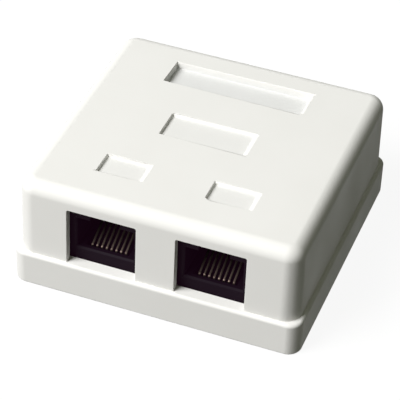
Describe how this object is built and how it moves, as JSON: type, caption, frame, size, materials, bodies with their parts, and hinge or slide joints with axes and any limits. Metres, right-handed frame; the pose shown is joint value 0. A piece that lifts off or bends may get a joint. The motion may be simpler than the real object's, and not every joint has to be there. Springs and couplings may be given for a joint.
{
  "type": "surface mount jack box",
  "caption": "Surface-mount wall box with modular jacks behind front windows; cover lifts off a screw-down base holding a board with punch-down blocks.",
  "frame": {"origin": "centre of the base's underside, on the wall face", "axes": "+X to the right seen from the ports' side, +Y away from the ports, +Z away from the wall"},
  "size_m": [0.06, 0.0584, 0.0246],
  "materials": {
    "abs_white": "satin moulded",
    "jack_black": "satin moulded",
    "board_green": "solder mask",
    "contact_gold": "gold plated",
    "idc_ivory": "moulded",
    "terminal_tin": "tin plated",
    "screw_zinc": "zinc plated"
  },
  "bodies": {
    "base": {"base": "abs_white", "circuit_board": "board_green", "board_screws": "screw_zinc", "jack_housing_left": "jack_black", "contact_carrier_left": "jack_black", "contact_left_1": "contact_gold", "contact_left_2": "contact_gold", "contact_left_3": "contact_gold", "contact_left_4": "contact_gold", "contact_left_5": "contact_gold", "contact_left_6": "contact_gold", "contact_left_7": "contact_gold", "contact_left_8": "contact_gold", "idc_block_left": "idc_ivory", "idc_terminal_left_1": "terminal_tin", "idc_terminal_left_2": "terminal_tin", "idc_terminal_left_3": "terminal_tin", "idc_terminal_left_4": "terminal_tin", "idc_terminal_left_5": "terminal_tin", "idc_terminal_left_6": "terminal_tin", "idc_terminal_left_7": "terminal_tin", "idc_terminal_left_8": "terminal_tin", "jack_housing_right": "jack_black", "contact_carrier_right": "jack_black", "contact_right_1": "contact_gold", "contact_right_2": "contact_gold", "contact_right_3": "contact_gold", "contact_right_4": "contact_gold", "contact_right_5": "contact_gold", "contact_right_6": "contact_gold", "contact_right_7": "contact_gold", "contact_right_8": "contact_gold", "idc_block_right": "idc_ivory", "idc_terminal_right_1": "terminal_tin", "idc_terminal_right_2": "terminal_tin", "idc_terminal_right_3": "terminal_tin", "idc_terminal_right_4": "terminal_tin", "idc_terminal_right_5": "terminal_tin", "idc_terminal_right_6": "terminal_tin", "idc_terminal_right_7": "terminal_tin", "idc_terminal_right_8": "terminal_tin"},
    "cover": {"cover": "abs_white"}
  },
  "joints": [
    {"name": "cover_lift", "type": "slide", "parent": "base", "child": "cover", "axis": [0, 0, 1], "range_m": [0, 0.025]}
  ]
}
